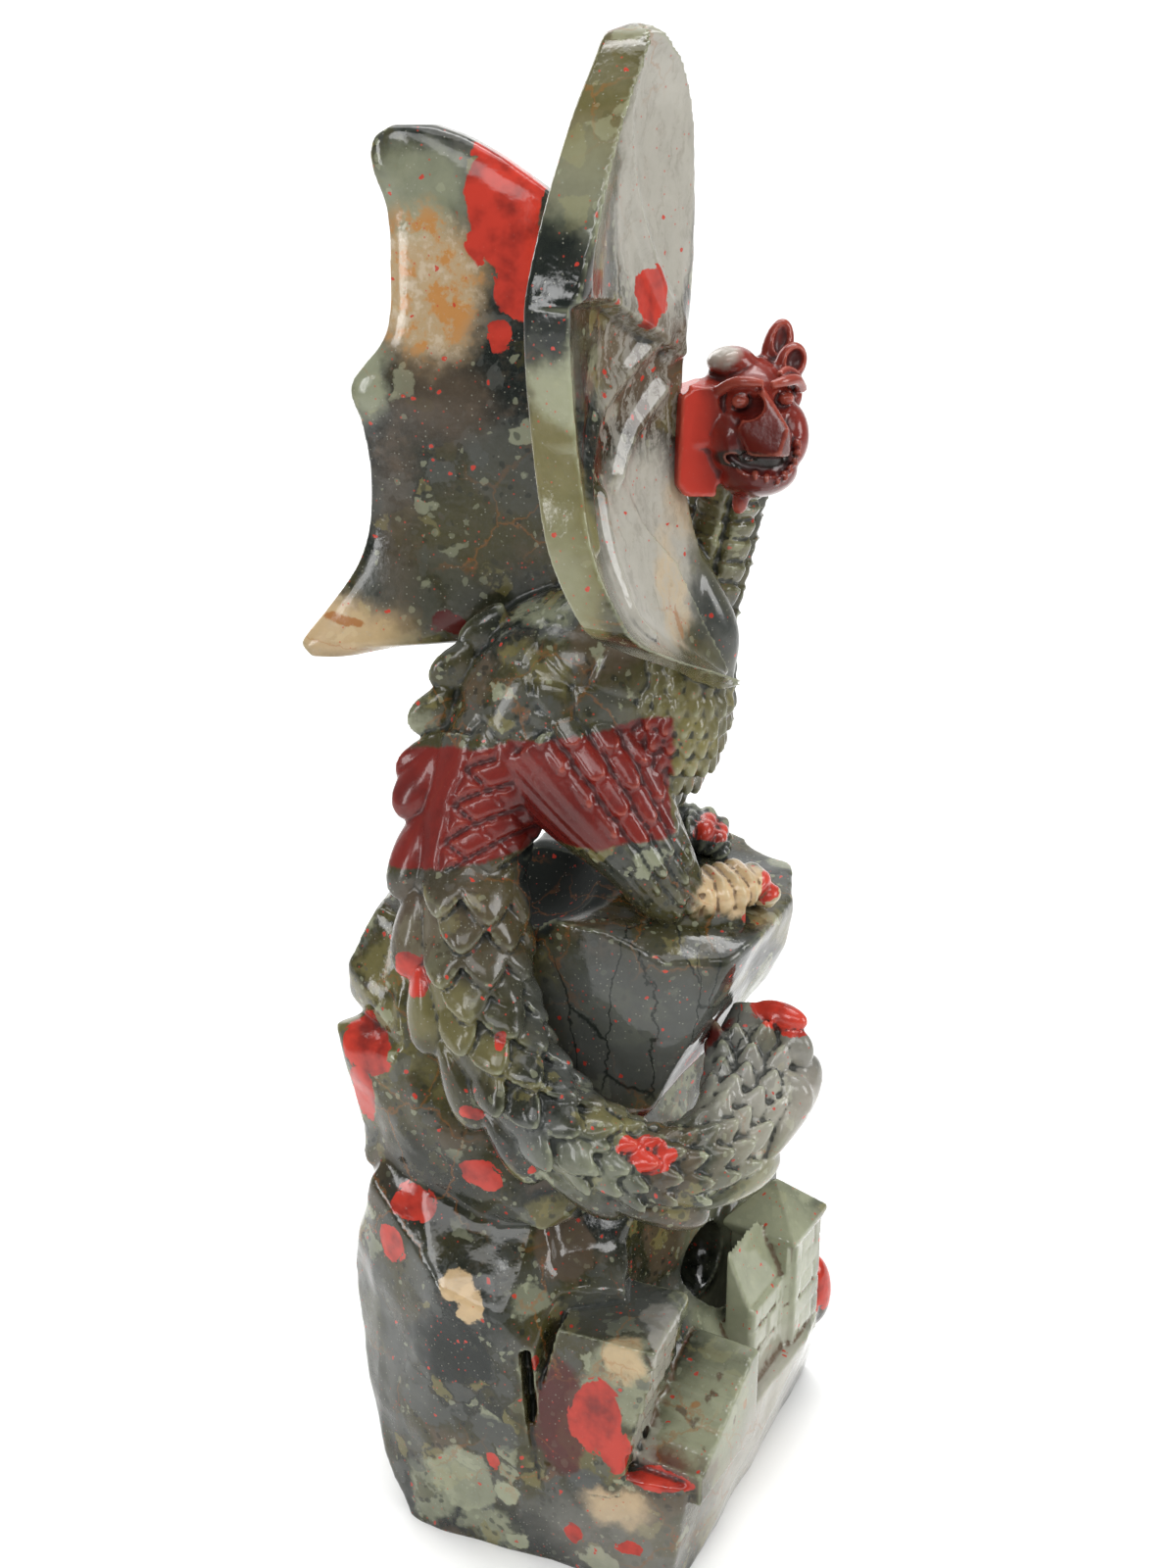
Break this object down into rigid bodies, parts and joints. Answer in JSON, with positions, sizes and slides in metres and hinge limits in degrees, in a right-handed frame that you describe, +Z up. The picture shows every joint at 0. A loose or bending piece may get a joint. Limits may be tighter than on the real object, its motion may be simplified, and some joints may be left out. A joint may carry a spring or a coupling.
{
  "type": "dragon statue",
  "caption": "Carved stone dragon with raised wings, perched on an overhanging cliff with its tail curled in front, above a small keep on one squared base.",
  "frame": {"origin": "on the flat underside, at the middle of its four-cornered footprint", "axes": "+Z up, +X the way the dragon's chest and toes point, -Y the side with the tail, seen in the picture"},
  "size_m": [0.0664, 0.0602, 0.175],
  "materials": {
    "bloodstone": "polished breccia: grey-green chalcedony with red jasper"
  },
  "bodies": {
    "root": {"dragon_statue": "bloodstone"}
  },
  "joints": []
}
